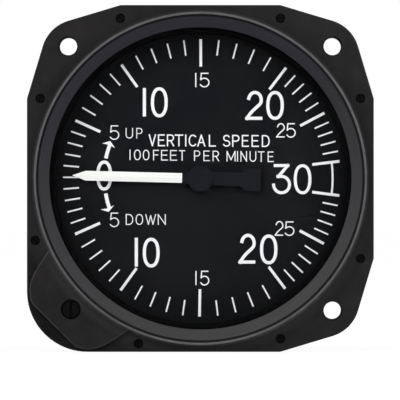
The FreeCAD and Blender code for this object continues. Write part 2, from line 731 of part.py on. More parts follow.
# Case body, gasket and cover
case = outline(case_inset, gasket_back, case_flange_back)
case = case.fuse(cyl(can_r, gasket_back, can_end))
case = case.fuse(cyl(lobe_out_r, gasket_back, lobe_back, -lobe_pos, -lobe_pos))
case = case.cut(cyl(can_bore_r, gasket_back - 1, can_end + 1))
case = case.cut(cyl(can_front_bore_r, gasket_back - 1, support_back))
case = case.cut(cyl(lobe_in_r, gasket_back - 1, front_plate_y, -lobe_pos, -lobe_pos))
wall = cyl((can_r + can_bore_r) / 2, front_plate_back, can_end)
for x, z in lugs:
    case = case.fuse(cyl(lug_r, front_plate_back, front_plate_back + lug_l, x, z).common(wall))
    case = case.cut(cyl(0.95, front_plate_back - 1, front_plate_back + lug_l - 0.8, x, z))
bosses = [polar(boss_pos_r, radians(60 * k + 30)) for k in range(6)]
for x, z in bosses:
    case = case.fuse(cyl(boss_r, can_end - boss_l, can_end, x, z).common(wall))
    case = case.cut(cyl(1.05, can_end - 6, can_end + 1, x, z))
for x, z in mount_holes:
    case = case.cut(cyl(hole_r, 0, 20, x, z))
for x, z in screw_marks:
    case = case.cut(cyl(mark_shank_r, 0, 20, x, z))
parts["case_body"] = case.removeSplitter()
seal = lobed(can_r + 2.4, lobe_out_r + 1.7, flange_t, gasket_back)
seal = seal.cut(lobed(can_front_bore_r + 0.7, lobe_in_r + 0.5, flange_t - 1, gasket_back + 1))
parts["flange_gasket"] = seal
parts["cover_gasket"] = ring(can_bore_r, can_r, can_end, cover_front)
cover = cyl(can_r, cover_front, cover_back)
cover = chamfer_flat_edges(cover, cover_back, cover_chamfer, lambda e: True)
cover = cover.cut(cyl(port_neck_r + running, cover_front - 1, cover_back + 1, port_x, port_z))
for x, z in bosses:
    cover = cover.cut(cyl(1.15, cover_front - 1, cover_back + 1, x, z))
parts["case_cover"] = cover
parts["cover_screws"] = Part.makeCompound([
    screw(x, z, cover_back, 1, 2.0, 1.3, 1.0, cover_t + gasket_t + 4.5, turn=20 + 35 * i)
    for i, (x, z) in enumerate(bosses)])

# Zero adjust: screw, bush, O-ring, pinion, toothed lever and its pivot
head_back = zero_gland_y - 0.03
head_front = -pad_h + zero_recess
zg_y = lever_y - 0.4
zg_back = lever_y + lever_t + 0.4
zs = fuse([cyl(zero_head_r, head_front, head_back, zero_x, zero_z),
           cyl(zero_shank_r, head_back, zg_back + 0.6, zero_x, zero_z)])
zs_slot = box(-3, 3, head_front - 1, head_front + 0.8, -zero_slot_w / 2, zero_slot_w / 2)
zs_slot.rotate(V(0, 0, 0), V(0, 1, 0), zero_slot_deg)
zs_slot.translate(V(zero_x, 0, zero_z))
parts["zero_adjust_screw"] = zs.cut(zs_slot)
parts["zero_adjust_bush"] = ring(zero_shank_r + running, zero_gland_r, zero_gland_y + 1.0, flange_t,
                                 zero_x, zero_z)
o_minor = (zero_gland_r - zero_shank_r - running) / 2
o_ring = Part.makeTorus(zero_gland_r - o_minor, o_minor, V(zero_x, zero_gland_y + 1.0 - o_minor, zero_z), V(0, 1, 0))
parts["zero_adjust_o_ring"] = o_ring
zg = gear(zero_module, zero_pinion_teeth, zero_dir + pi + pi / zero_pinion_teeth, zero_x, zero_z,
          zg_y, zg_back, zero_shank_r)
zg = zg.fuse(ring(zero_shank_r, 1.85, flange_t + 0.08, zg_y, zero_x, zero_z)).removeSplitter()
parts["zero_adjust_pinion"] = zg
lever = toothed_sector(zero_module, zero_lever_teeth, zero_dir, 3, pivot_x, pivot_z,
                       lever_y, lever_y + lever_t, lever_hub_r, zg_y, lever_y + 2.0, 1.0 + running, [])
tail_a, tail_b = slot_mid, tail_len
w = tail_w / 2
ux, uz = cos(tail_a), sin(tail_a)
arm_pts = [(pivot_x + along_arm * ux - side * w * uz, pivot_z + along_arm * uz + side * w * ux)
           for along_arm, side in ((1.9, 1), (1.9, -1), (tail_b, -1), (tail_b, 1))]
pin_x, pin_z = polar(tail_len, slot_mid, pivot_x, pivot_z)
lever_back = lever_y + lever_t
lever = fuse([lever, prism(arm_pts, lever_y, lever_back), cyl(w, lever_y, lever_back, pin_x, pin_z),
              cyl(tail_pin_r, lever_back, front_plate_back + 1.4, pin_x, pin_z)])
parts["zero_adjust_lever"] = lever
pivot = fuse([cyl(1.0, zg_y - 0.2, front_plate_y, pivot_x, pivot_z), cyl(2.0, lever_y + 2.08, front_plate_y, pivot_x, pivot_z),
              cyl(1.7, zg_y - 0.9, zg_y - 0.1, pivot_x, pivot_z)])
parts["zero_pivot_post"] = pivot

os.makedirs("parts", exist_ok=True)
for name, shape in parts.items():
    shape.exportStep("parts/" + name + ".step")
    bad = "" if shape.isValid() else " NOT VALID"
    print(name, len(shape.Solids), round(shape.Volume, 1), bad)
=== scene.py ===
import math

import bmesh
import bpy
from mathutils import Matrix, Vector


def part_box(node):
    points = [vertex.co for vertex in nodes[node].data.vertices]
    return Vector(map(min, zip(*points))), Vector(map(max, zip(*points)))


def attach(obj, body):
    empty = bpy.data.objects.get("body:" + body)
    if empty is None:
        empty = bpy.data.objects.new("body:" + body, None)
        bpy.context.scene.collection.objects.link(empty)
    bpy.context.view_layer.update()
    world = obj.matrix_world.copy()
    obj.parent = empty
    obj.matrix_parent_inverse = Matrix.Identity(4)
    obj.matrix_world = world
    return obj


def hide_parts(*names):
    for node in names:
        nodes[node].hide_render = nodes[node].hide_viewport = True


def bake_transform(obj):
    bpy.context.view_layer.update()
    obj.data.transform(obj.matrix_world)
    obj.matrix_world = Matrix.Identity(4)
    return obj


# A panel-mounted vertical speed indicator. The dial faces -Y and +Z is up.
# Lengths are metres, and the dial's printing is laid out in millimetres first.

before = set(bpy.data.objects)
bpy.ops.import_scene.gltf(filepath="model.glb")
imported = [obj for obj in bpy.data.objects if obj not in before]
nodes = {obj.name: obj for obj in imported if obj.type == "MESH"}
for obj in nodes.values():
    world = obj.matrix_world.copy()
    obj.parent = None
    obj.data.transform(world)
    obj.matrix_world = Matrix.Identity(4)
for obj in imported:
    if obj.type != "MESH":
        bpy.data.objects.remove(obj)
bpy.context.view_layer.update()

MM = 0.001
DIAL_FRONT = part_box("dial_plate")[0].y
FLOOR_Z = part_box("mounting_flange")[0].z

# Edges of the castings that the finishes follow: radii from the dial's axis, and places along Y
CAN_R = 0.0380
COVER_EDGE = (0.0609, 0.0617)
COVER_JOINT = (0.0577, 0.0582)
CASE_LEDGE = (0.0045, 0.0070)
RIM_INNER_R = 0.0390
RIM_OUTER_R = 0.03965
RIM_FRONT = -0.00505
RIM_FOOT_R = (0.0394, 0.0401)
RIM_FOOT_Y = (-0.0045, 0.0002)
PAD_EDGE = (-0.00156, -0.00124)
FLANGE_EDGE = (0.00003, 0.00036)

# The camera stands square to the dial with a long lens, as in the photo
CAMERA_PLACE = (-0.00009, -1.5, -0.00513)
LENS_MM = 567.3
SENSOR_MM = 36.0


# Shader maths written as expressions

class Wire:
    """The output of a shader node, with arithmetic that adds Math nodes."""

    def __init__(self, finish, socket):
        self.finish = finish
        self.socket = socket

    def calc(self, operation, *others):
        values = dict(enumerate((self,) + others))
        return self.finish.node("ShaderNodeMath", {"operation": operation}, values)

    def flipped(self, operation, other):
        return self.finish.node("ShaderNodeMath", {"operation": operation}, {0: other, 1: self})

    def __add__(self, other):
        return self.calc("ADD", other)

    def __radd__(self, other):
        return self.flipped("ADD", other)

    def __sub__(self, other):
        return self.calc("SUBTRACT", other)

    def __rsub__(self, other):
        return self.flipped("SUBTRACT", other)

    def __mul__(self, other):
        return self.calc("MULTIPLY", other)

    def __rmul__(self, other):
        return self.flipped("MULTIPLY", other)

    def __truediv__(self, other):
        return self.calc("DIVIDE", other)


class Finish:
    """One material in the making."""

    def __init__(self, name):
        self.material = bpy.data.materials.new(name)
        self.material.use_nodes = True
        self.tree = self.material.node_tree
        self.tree.nodes.clear()

    def node(self, kind, settings=None, values=None, out=0):
        made = self.tree.nodes.new(kind)
        for name, setting in (settings or {}).items():
            setattr(made, name, setting)
        for key, value in (values or {}).items():
            socket = made.inputs[key]
            if isinstance(value, Wire):
                self.tree.links.new(value.socket, socket)
            elif isinstance(value, tuple) and len(value) == 3 and socket.type == "RGBA":
                socket.default_value = (*value, 1.0)
            else:
                socket.default_value = value
        return Wire(self, made.outputs[out]) if made.outputs else None

    def place(self):
        return self.node("ShaderNodeTexCoord", out="Object")

    def parts(self, vector):
        made = self.tree.nodes.new("ShaderNodeSeparateXYZ")
        self.tree.links.new(vector.socket, made.inputs[0])
        return [Wire(self, made.outputs[i]) for i in range(3)]

    def joined(self, x, y, z):
        return self.node("ShaderNodeCombineXYZ", None, {0: x, 1: y, 2: z})

    def stretched(self, vector, scale):
        return self.node("ShaderNodeMapping", None, {"Vector": vector, "Scale": scale})

    def noise(self, vector, size, detail=2.0, roughness=0.5):
        values = {"Vector": vector, "Scale": 1.0 / size, "Detail": detail, "Roughness": roughness}
        return self.node("ShaderNodeTexNoise", {"noise_dimensions": "3D"}, values)

    def cells(self, vector, size):
        return self.node("ShaderNodeTexVoronoi", None, {"Vector": vector, "Scale": 1.0 / size})

    def step(self, value, low, high, start=0.0, end=1.0):
        settings = {"clamp": True, "interpolation_type": "SMOOTHSTEP"}
        return self.node("ShaderNodeMapRange", settings, {0: value, 1: low, 2: high, 3: start, 4: end})

    def blend(self, factor, first, second):
        settings = {"data_type": "RGBA", "blend_type": "MIX"}
        return self.node("ShaderNodeMix", settings, {0: factor, 6: first, 7: second}, out=2)

    def bump(self, height, depth, strength=1.0, under=None):
        values = {"Strength": strength, "Distance": depth, "Height": height}
        if under is not None:
            values["Normal"] = under
        return self.node("ShaderNodeBump", None, values)

    def done(self, values):
        shader = self.node("ShaderNodeBsdfPrincipled", None, values)
        return self.shown(shader)

    def shown(self, shader):
        self.node("ShaderNodeOutputMaterial", None, {"Surface": shader})
        return self.material


def around_axis(finish, place):
    """Distance from the dial's axis, the direction round it without a seam, and the place along Y."""
    x, y, z = finish.parts(place)
    reach = (x * x + z * z).calc("SQRT").calc("MAXIMUM", 0.00001)
    return reach, x / reach, z / reach, y


def between(finish, value, low, high, soft):
    """One between two values, with soft edges, and nothing outside them."""
    return finish.step(value, low - soft, low + soft) * finish.step(value, high + soft, high - soft)


# Finishes

def black_enamel(name, dark, pale, grain, orange_peel, gloss, shine):
    """Baked black enamel: fine orange peel, paler clouds and faint specks of dust."""
    f = Finish(name)
    place = f.place()
    peel = f.noise(place, orange_peel, 3.0, 0.55)
    cloud = f.noise(place, 0.016, 3.0, 0.6)
    specks = f.step(f.cells(place, grain * 5), 0.0, 0.16, 1.0, 0.0)
    dust = specks * f.step(f.noise(place, 0.004, 1.0), 0.52, 0.66)
    colour = f.blend(f.step(cloud, 0.3, 0.7), dark, pale)
    colour = f.blend(dust * 0.35, colour, (0.05, 0.048, 0.045))
    normal = f.bump(peel, 0.000022, 0.5)
    normal = f.bump(f.noise(place, grain, 2.0), 0.000006, 0.35, normal)
    return f.done({
        "Base Color": colour,
        "Roughness": gloss + 0.14 * cloud + 0.06 * peel,
        "Specular IOR Level": shine,
        "Normal": normal,
    })


def cast_case(name):
    """The can's satin enamel: dust on top, rubbed pale on the cover's edge and at the joint."""
    f = Finish(name)
    place = f.place()
    reach, _, north, depth = around_axis(f, place)
    peel = f.noise(place, 0.0007, 3.0, 0.55)
    cloud = f.noise(place, 0.016, 3.0, 0.6)
    rubbed = f.noise(place, 0.0024, 3.0, 0.65)
    scuffs = f.noise(f.stretched(place, (1.0, 0.12, 1.0)), 0.0016, 2.0, 0.6)
    rim = f.step(reach, CAN_R - 0.0008, CAN_R - 0.0004) * between(f, depth, *COVER_EDGE, 0.00005)
    joint = f.step(reach, CAN_R - 0.0002, CAN_R) * between(f, depth, *COVER_JOINT, 0.00006)
    ledge = f.step(reach, CAN_R + 0.0008, CAN_R + 0.0011) * between(f, depth, *CASE_LEDGE, 0.0002)
    colour = f.blend(f.step(cloud, 0.3, 0.7), (0.0115, 0.0115, 0.0120), (0.0190, 0.0186, 0.0184))
    dust = f.step(north, 0.2, 0.95)
    colour = f.blend(dust * f.step(cloud, 0.35, 0.75) * 0.55, colour, (0.042, 0.040, 0.037))
    colour = f.blend(f.step(scuffs, 0.66, 0.74) * 0.4, colour, (0.050, 0.049, 0.047))
    colour = f.blend(ledge * f.step(rubbed, 0.5, 0.75) * 0.6, colour, (0.045, 0.044, 0.043))
    colour = f.blend(joint * f.step(rubbed, 0.35, 0.7), colour, (0.055, 0.054, 0.053))
    colour = f.blend(rim * f.step(rubbed, 0.3, 0.62), colour, (0.095, 0.093, 0.090))
    normal = f.bump(peel, 0.000030, 0.5)
    normal = f.bump(f.noise(place, 0.00018, 2.0), 0.000006, 0.35, normal)
    return f.done({
        "Base Color": colour,
        "Roughness": 0.37 + 0.14 * cloud + 0.06 * peel + 0.10 * dust,
        "Specular IOR Level": 0.16,
        "Normal": normal,
    })


def cast_flange(name):
    """The flange's satin enamel, with painted highlights along the rim, its foot and the pad's edge,
    painted light on the bore wall and low beside the rim, and painted shade behind the pad and on the
    outer edge.
    """
    f = Finish(name)
    place = f.place()
    reach, east, north, depth = around_axis(f, place)
    peel = f.noise(place, 0.0005, 3.0, 0.55)
    cloud = f.noise(place, 0.014, 3.0, 0.6)
    rubbed = f.noise(place, 0.0021, 3.0, 0.65)
    outside = f.step(reach, RIM_OUTER_R + 0.00005, RIM_OUTER_R + 0.00025)
    rim = between(f, reach, RIM_INNER_R, RIM_OUTER_R, 0.00004)
    rim = rim * f.step(depth, RIM_FRONT, RIM_FRONT - 0.0001)
    seat = between(f, reach, *RIM_FOOT_R, 0.0003) * between(f, depth, *RIM_FOOT_Y, 0.0001)
    pad_edge = outside * between(f, depth, *PAD_EDGE, 0.00003)
    outline = outside * between(f, depth, *FLANGE_EDGE, 0.00002)
    toward_pad = (east + north) * -0.7071
    # Painted shade: the flange's corner beyond the pad is painted darker, and Metallic there dulls its
    # shine.
    corner = f.step(toward_pad, 0.88, 1.0) * f.step(reach, 0.0428, 0.0446)
    painted_shade_corner = corner * f.step(depth, -0.0009, -0.0002) * f.step(rubbed, 0.35, 0.75, 1.0, 0.45)
    patches = f.noise(place, 0.0045, 4.0, 0.65)
    colour = f.blend(f.step(cloud, 0.3, 0.7), (0.0074, 0.0067, 0.0069), (0.0107, 0.0096, 0.0096))
    colour = f.blend(f.step(patches, 0.42, 0.72) * 0.6, colour, (0.0156, 0.0138, 0.0140))
    colour = f.blend(f.step(patches, 0.45, 0.25) * 0.5, colour, (0.0048, 0.0045, 0.0045))
    # Painted light: the bore wall inside the rim is painted pale to lift its shadow.
    bore_wall = f.step(reach, RIM_INNER_R + 0.0001, RIM_INNER_R - 0.00005)
    colour = f.blend(bore_wall, colour, (0.055, 0.055, 0.057))
    colour = f.blend(painted_shade_corner, colour, (0.0034, 0.0030, 0.0031))
    # Painted light: the flange just outside the rim is painted paler at the bottom, where the rim
    # shades it.
    low_side = f.step(north, 0.1, -0.85)
    painted_light_strip = low_side * f.step(reach, 0.0430, 0.0408) * 0.55
    colour = f.blend(painted_light_strip, colour, (0.0330, 0.0318, 0.0320))
    # The rim's foot is painted pale all round as a painted highlight, and paler at the bottom as
    # painted light against the rim's shadow; partly it is also rubbed by the panel.
    seat_light_tone = f.blend(low_side, (0.040, 0.039, 0.039), (0.085, 0.083, 0.083))
    colour = f.blend(seat * f.step(rubbed, 0.3, 0.8, 0.35, 1.0), colour, seat_light_tone)
    # Painted shade: the outer edge's chamfer is painted darker than the face, in patches.
    colour = f.blend(outline * f.step(rubbed, 0.7, 0.3, 0.4, 1.0), colour, (0.0040, 0.0040, 0.0042))
    # Painted highlight along the pad's edge, weaker at the corner, broken by noise.
    pad_edge_highlight = f.step(rubbed, 0.3, 0.6, 0.45, 1.0) * (1.0 - 0.5 * corner)
    colour = f.blend(pad_edge * pad_edge_highlight, colour, (0.048, 0.047, 0.046))
    # Painted highlight along the rim's front edge, brighter at the bottom, broken by noise.
    rim_highlight_tone = f.blend(f.step(north, -0.85, -0.99), (0.084, 0.084, 0.086), (0.115, 0.115, 0.117))
    colour = f.blend(rim * f.step(rubbed, 0.25, 0.65, 0.72, 1.0), colour, rim_highlight_tone)
    normal = f.bump(peel, 0.000022, 0.5)
    normal = f.bump(f.noise(place, 0.00016, 2.0), 0.000006, 0.35, normal)
    return f.done({
        "Base Color": colour,
        "Metallic": 0.6 * painted_shade_corner,
        "Roughness": 0.42 + 0.14 * cloud + 0.06 * peel - 0.08 * rim,
        "Specular IOR Level": 0.11,
        "Normal": normal,
    })


def turned_band(name):
    """The dark dished band: concentric tool marks, with painted light towards the bottom and painted
    shade towards the top, broken by noise.
    """
    f = Finish(name)
    place = f.place()
    reach, east, north, _ = around_axis(f, place)
    lines = f.noise(f.joined(reach * 9000.0, east * 3.0, north * 3.0), 1.0, 2.0, 0.7)
    wide = f.noise(f.joined(reach * 1500.0, east * 1.6, north * 1.6), 1.0, 1.0)
    tone = f.step(lines, 0.25, 0.75)
    # Painted light and shade: the band is painted lighter towards the bottom and a little to the right,
    # and darker towards the top.
    side = east * 0.12 - north * 0.48 + 0.5
    band_shaded_tone = f.blend(tone, (0.0122, 0.0122, 0.0160), (0.0198, 0.0198, 0.0238))
    band_lit_tone = f.blend(tone, (0.0262, 0.0255, 0.0272), (0.0392, 0.0380, 0.0396))
    colour = f.blend(f.step(side + 0.12 * wide, 0.1, 1.05), band_shaded_tone, band_lit_tone)
    normal = f.bump(lines, 0.000004, 0.4)
    return f.done({
        "Base Color": colour,
        "Metallic": 0.5,
        "Roughness": 0.42 + 0.08 * wide,
        "Specular IOR Level": 0.2,
        "Normal": normal,
    })


def dial_black(name):
    """Dead matt black lacquer of the dial, a little blue, with a fine tooth, and painted shade towards
    the edge, under the bezel.
    """
    f = Finish(name)
    place = f.place()
    reach = around_axis(f, place)[0]
    tooth = f.noise(place, 0.00012, 2.0, 0.6)
    cloud = f.noise(place, 0.012, 2.0, 0.5)
    colour = f.blend(f.step(cloud, 0.35, 0.65), (0.0064, 0.0067, 0.0086), (0.0092, 0.0093, 0.0106))
    # Painted shade: the dial is painted darker towards its edge, where the bezel shades it.
    colour = f.blend(f.step(reach, 0.023, 0.034) * 0.55, colour, (0.0032, 0.0032, 0.0038))
    return f.done({
        "Base Color": colour,
        "Roughness": 0.62 + 0.12 * tooth,
        "Specular IOR Level": 0.05,
        "Normal": f.bump(tooth, 0.000006, 0.4),
    })


def dial_white(name, tint):
    """White printing paint, a touch uneven in thickness."""
    f = Finish(name)
    place = f.place()
    film = f.noise(place, 0.0009, 3.0, 0.6)
    colour = f.blend(f.step(film, 0.3, 0.75), tint, tuple(0.93 * c for c in tint))
    return f.done({
        "Base Color": colour,
        "Roughness": 0.55 + 0.1 * film,
        "Specular IOR Level": 0.1,
        "Normal": f.bump(f.noise(place, 0.00022, 2.0), 0.000006, 0.35),
    })


def needle_paint(name, tint, gloss, shine):
    """Sprayed paint on the pointer, with faint strokes along it."""
    f = Finish(name)
    place = f.place()
    strokes = f.noise(f.stretched(place, (120.0, 900.0, 4200.0)), 1.0, 2.0, 0.6)
    colour = f.blend(f.step(strokes, 0.35, 0.7), tint, tuple(0.94 * c for c in tint))
    return f.done({
        "Base Color": colour,
        "Roughness": gloss + 0.1 * strokes,
        "Specular IOR Level": shine,
        "Normal": f.bump(strokes, 0.000005, 0.3),
    })


def worked_metal(name, bright, dull, roughness, along=(1.0, 1.0, 1.0), size=0.00035):
    """Bare metal with the fine lines of its working and a dulled bloom."""
    f = Finish(name)
    place = f.place()
    lines = f.noise(f.stretched(place, along), size, 3.0, 0.6)
    bloom = f.noise(place, 0.006, 3.0, 0.6)
    colour = f.blend(f.step(bloom, 0.35, 0.7), bright, dull)
    return f.done({
        "Base Color": colour,
        "Metallic": 0.92 + 0.08 * f.step(bloom, 0.4, 0.6),
        "Roughness": roughness + 0.16 * lines + 0.08 * bloom,
        "Normal": f.bump(lines, 0.000004, 0.35),
    })


def lathed_metal(name, bright, dull, roughness):
    """Turned metal: rings round the instrument's axis direction."""
    f = Finish(name)
    place = f.place()
    x, y, z = f.parts(place)
    rings = f.noise(f.joined(x * 120.0, y * 6500.0, z * 120.0), 1.0, 2.0, 0.6)
    bloom = f.noise(place, 0.007, 3.0, 0.6)
    colour = f.blend(f.step(bloom, 0.35, 0.7), bright, dull)
    return f.done({
        "Base Color": colour,
        "Metallic": 0.9 + 0.1 * bloom,
        "Roughness": roughness + 0.18 * rings,
        "Normal": f.bump(rings, 0.000006, 0.35),
    })


def blackened_steel(name, dark, rubbed, gloss, shine):
    """Black oxide on screws: dark, a little brown where it is handled."""
    f = Finish(name)
    place = f.place()
    cloud = f.noise(place, 0.0011, 3.0, 0.6)
    colour = f.blend(f.step(cloud, 0.45, 0.72), dark, rubbed)
    return f.done({
        "Base Color": colour,
        "Metallic": 0.3 * f.step(cloud, 0.5, 0.7),
        "Roughness": gloss + 0.2 * cloud,
        "Specular IOR Level": shine,
        "Normal": f.bump(cloud, 0.000008, 0.4),
    })


def rubber(name):
    """Moulded black rubber with a dry bloom."""
    f = Finish(name)
    place = f.place()
    bloom = f.noise(place, 0.003, 3.0, 0.6)
    tooth = f.noise(place, 0.00015, 2.0)
    return f.done({
        "Base Color": f.blend(bloom, (0.012, 0.012, 0.012), (0.024, 0.023, 0.022)),
        "Roughness": 0.7 + 0.15 * tooth,
        "Specular IOR Level": 0.2,
        "Normal": f.bump(tooth, 0.000010, 0.5),
    })


def coated_glass(name, show):
    """Glass with a reflection-cutting coat: clear from the front, it mirrors from the side."""
    f = Finish(name)
    place = f.place()
    smear = f.noise(f.stretched(place, (1.0, 1.0, 0.55)), 0.009, 3.0, 0.6)
    edge = f.node("ShaderNodeFresnel", None, {"IOR": 1.11})
    film = f.node("ShaderNodeBsdfGlossy", None, {"Color": (0.93, 0.95, 1.0), "Roughness": 0.03})
    clear = f.node("ShaderNodeBsdfTransparent", None, {"Color": (0.985, 0.99, 0.985)})
    sheen = (edge - 0.003).calc("MAXIMUM", 0.0)
    factor = sheen * (show + 0.35 * f.step(smear, 0.45, 0.75))
    shader = f.node("ShaderNodeMixShader", None, {0: factor, 1: clear, 2: film})
    return f.shown(shader)


finishes = {
    "flange": cast_flange("satin_black_flange"),
    "case": cast_case("satin_black_case"),
    "band": turned_band("turned_dark_band"),
    "glass": coated_glass("coated_window_glass", 1.0),
    "rubber": rubber("black_rubber_gasket"),
    "inner_black": black_enamel(
        "matt_black_inner_ring", (0.0036, 0.0036, 0.0039), (0.0050, 0.0050, 0.0054),
        grain=0.00016, orange_peel=0.0004, gloss=0.65, shine=0.01,
    ),
    "ring_metal": lathed_metal("turned_support_ring", (0.42, 0.42, 0.43), (0.32, 0.32, 0.33), 0.3),
    "dial": dial_black("matt_black_dial"),
    "print": dial_white("white_dial_printing", (0.94, 0.925, 0.965)),
    "needle": needle_paint("warm_white_pointer", (0.925, 0.917, 0.912), 0.42, 0.15),
    "tail": needle_paint("matt_black_pointer_tail", (0.0112, 0.0114, 0.0148), 0.6, 0.04),
    "black_screw": blackened_steel(
        "blackened_steel_screw", (0.013, 0.013, 0.014), (0.034, 0.030, 0.026), 0.36, 0.2
    ),
    "dark_screw": blackened_steel(
        "blackened_sunk_screw", (0.0016, 0.0016, 0.0017), (0.0042, 0.0040, 0.0038), 0.5, 0.05
    ),
    "steel": worked_metal("bright_steel", (0.62, 0.62, 0.61), (0.50, 0.50, 0.49), 0.22),
    "brass": worked_metal(
        "brushed_brass", (0.78, 0.58, 0.27), (0.62, 0.45, 0.20), 0.26, (1.0, 0.3, 1.0)
    ),
    "bronze": worked_metal(
        "spring_bronze", (0.72, 0.47, 0.25), (0.55, 0.34, 0.18), 0.24, (1.0, 1.0, 1.0), 0.0006
    ),
    "bracket": worked_metal(
        "milled_aluminium_bracket", (0.74, 0.75, 0.76), (0.60, 0.61, 0.62), 0.34, (0.15, 1.0, 1.0)
    ),
    "copper": worked_metal(
        "drawn_copper_tube", (0.80, 0.44, 0.28), (0.58, 0.30, 0.18), 0.28, (1.0, 0.2, 1.0)
    ),
    "tube_glass": coated_glass("restrictor_tube_glass", 1.6),
    "port": lathed_metal("turned_aluminium_port", (0.70, 0.71, 0.72), (0.56, 0.57, 0.58), 0.26),
}

worn_by = {
    "flange": ["mounting_flange"],
    "case": ["case_body", "case_cover"],
    "band": ["bezel_ring"],
    "glass": ["window_glass"],
    "rubber": ["glass_gasket", "flange_gasket", "cover_gasket", "zero_adjust_o_ring"],
    "inner_black": ["dial_spacer"],
    "ring_metal": ["dial_support_ring"],
    "dial": ["dial_plate"],
    "needle": ["pointer_blade"],
    "tail": ["pointer_tail"],
    "black_screw": ["cover_screws"],
    "dark_screw": ["flange_screws", "zero_adjust_screw"],
    "steel": [
        "pointer_shaft", "rocking_shaft", "stop_pins", "movement_screws", "pillar_screws",
        "bracket_screws", "link_rod", "link_pin", "zero_pivot_post", "zero_adjust_lever",
        "hairspring_stud",
    ],
    "brass": [
        "front_plate", "rear_plate", "pillars", "pointer_bushes", "rocker_bushes", "sector_gear",
        "pinion", "counterweight", "rocker_arm", "hairspring_collet", "zero_adjust_bush",
        "zero_adjust_pinion", "manifold_block", "capsule_boss", "capsule_nut",
    ],
    "bronze": ["hairspring", "capsule_fixed_half", "capsule_moving_half", "capsule_post"],
    "bracket": ["capsule_bracket"],
    "copper": ["static_tube"],
    "tube_glass": ["restrictor"],
    "port": ["static_port_fitting"],
}

for finish_name, wearers in worn_by.items():
    for node_name in wearers:
        slots = nodes[node_name].data.materials
        slots.clear()
        slots.append(finishes[finish_name])


# The capsule's moving half, whose rim stays with the case and whose crown goes with the post, is hidden
# and replaced by a copy with its doubles welded

skin = nodes["capsule_moving_half"].data.copy()
skin.name = "capsule_flexing_half"
welded = bmesh.new()
welded.from_mesh(skin)
bmesh.ops.remove_doubles(welded, verts=welded.verts, dist=0.0005 * MM)
welded.to_mesh(skin)
welded.free()
flexing = bpy.data.objects.new("capsule_flexing_half", skin)
bpy.context.scene.collection.objects.link(flexing)
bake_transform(flexing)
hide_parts("capsule_moving_half")


# Geometry Nodes trees for the dial's printing

def new_tree(name, inputs):
    """An empty tree with a geometry input and the named inputs that are given."""
    tree = bpy.data.node_groups.new(name, "GeometryNodeTree")
    tree.interface.new_socket("Geometry", in_out="INPUT", socket_type="NodeSocketGeometry")
    tree.interface.new_socket("Geometry", in_out="OUTPUT", socket_type="NodeSocketGeometry")
    for label, kind in inputs:
        tree.interface.new_socket(label, in_out="INPUT", socket_type="NodeSocket" + kind)
    return tree


def step_in(tree, kind, settings=None, values=None):
    """Adds a geometry node; values are numbers, tuples or other nodes' sockets."""
    made = tree.nodes.new(kind)
    for name, setting in (settings or {}).items():
        setattr(made, name, setting)
    for key, value in (values or {}).items():
        if isinstance(value, bpy.types.NodeSocket):
            tree.links.new(value, made.inputs[key])
        else:
            made.inputs[key].default_value = value
    return made


def named(tree, name, kind):
    """Reads an attribute that the drawing carries."""
    return step_in(tree, "GeometryNodeInputNamedAttribute", {"data_type": kind}, {"Name": name})


def stroke_section(tree, height):
    """The domed section of a painted stroke, one unit each way, flattened to height."""
    circle = step_in(tree, "GeometryNodeCurvePrimitiveCircle", None, {"Resolution": 12, "Radius": 1.0})
    flat = step_in(tree, "ShaderNodeCombineXYZ", None, {0: 1.0, 1: height, 2: 1.0})
    return step_in(tree, "GeometryNodeTransform", None, {
        "Geometry": circle.outputs[0], "Scale": flat.outputs[0],
    })


def finish_tree(tree, last, material, smoothed=True):
    """Realizes, gives the material and ends the tree."""
    real = step_in(tree, "GeometryNodeRealizeInstances", None, {"Geometry": last})
    smooth = step_in(tree, "GeometryNodeSetShadeSmooth", None, {
        "Geometry": real.outputs[0], "Shade Smooth": smoothed,
    })
    skin = step_in(tree, "GeometryNodeSetMaterial", None, {
        "Geometry": smooth.outputs[0], "Material": material,
    })
    step_in(tree, "NodeGroupOutput", None, {0: skin.outputs[0]})


def strokes_tree():
    """Sweeps a domed stroke of paint along the edges of a drawing in the XY plane."""
    tree = new_tree("painted_strokes", [("Paint height", "Float"), ("Paint", "Material")])
    given = tree.nodes.new("NodeGroupInput").outputs
    lines = step_in(tree, "GeometryNodeMeshToCurve", None, {"Mesh": given["Geometry"]})
    upright = step_in(tree, "GeometryNodeSetCurveNormal", {"mode": "Z_UP"}, {"Curve": lines.outputs[0]})
    width = named(tree, "half_width", "FLOAT")
    section = stroke_section(tree, given["Paint height"])
    swept = step_in(tree, "GeometryNodeCurveToMesh", None, {
        "Curve": upright.outputs[0],
        "Profile Curve": section.outputs[0],
        "Scale": width.outputs[0],
        "Fill Caps": True,
    })
    finish_tree(tree, swept.outputs[0], given["Paint"])
    return tree


